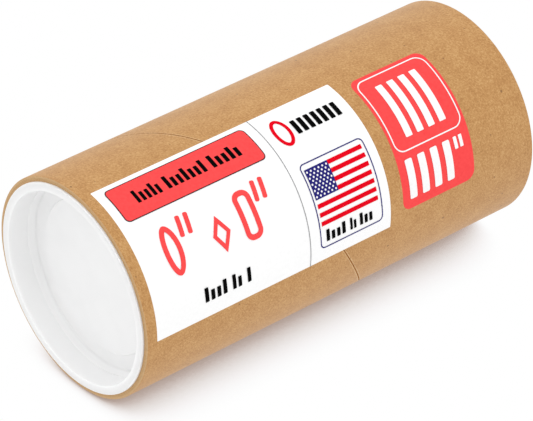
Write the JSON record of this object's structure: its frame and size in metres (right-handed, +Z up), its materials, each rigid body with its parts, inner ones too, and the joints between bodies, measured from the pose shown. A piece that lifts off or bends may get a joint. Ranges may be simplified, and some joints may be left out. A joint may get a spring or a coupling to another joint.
{
  "type": "mailing tube",
  "caption": "Round spiral-wound paperboard mailing tube with recessed plastic plug caps that pull out of its ends, a white shipping label and a red badge label.",
  "frame": {"origin": "middle of the bottom cap's flange face, on the tube's axis, where the tube stands", "axes": "+Z up along the tube's axis to the top cap, -Y towards the middle of the labels"},
  "size_m": [0.0834, 0.0836, 0.1795],
  "materials": {
    "board": "matt brown paperboard, spiral wound",
    "cap_plastic": "satin white moulded polyethylene",
    "label_paper": "smooth white label paper",
    "badge_paper": "smooth red printed label paper"
  },
  "bodies": {
    "tube_body": {"spiral_tube": "board", "shipping_label": "label_paper", "badge_label": "badge_paper"},
    "top_cap_body": {"top_end_cap": "cap_plastic"},
    "bottom_cap_body": {"bottom_end_cap": "cap_plastic"}
  },
  "joints": [
    {"name": "top_cap_pull", "type": "slide", "parent": "tube_body", "child": "top_cap_body", "axis": [0, 0, 1], "range_m": [0, 0.04]},
    {"name": "bottom_cap_pull", "type": "slide", "parent": "tube_body", "child": "bottom_cap_body", "axis": [0, 0, -1], "range_m": [0, 0.04]}
  ]
}
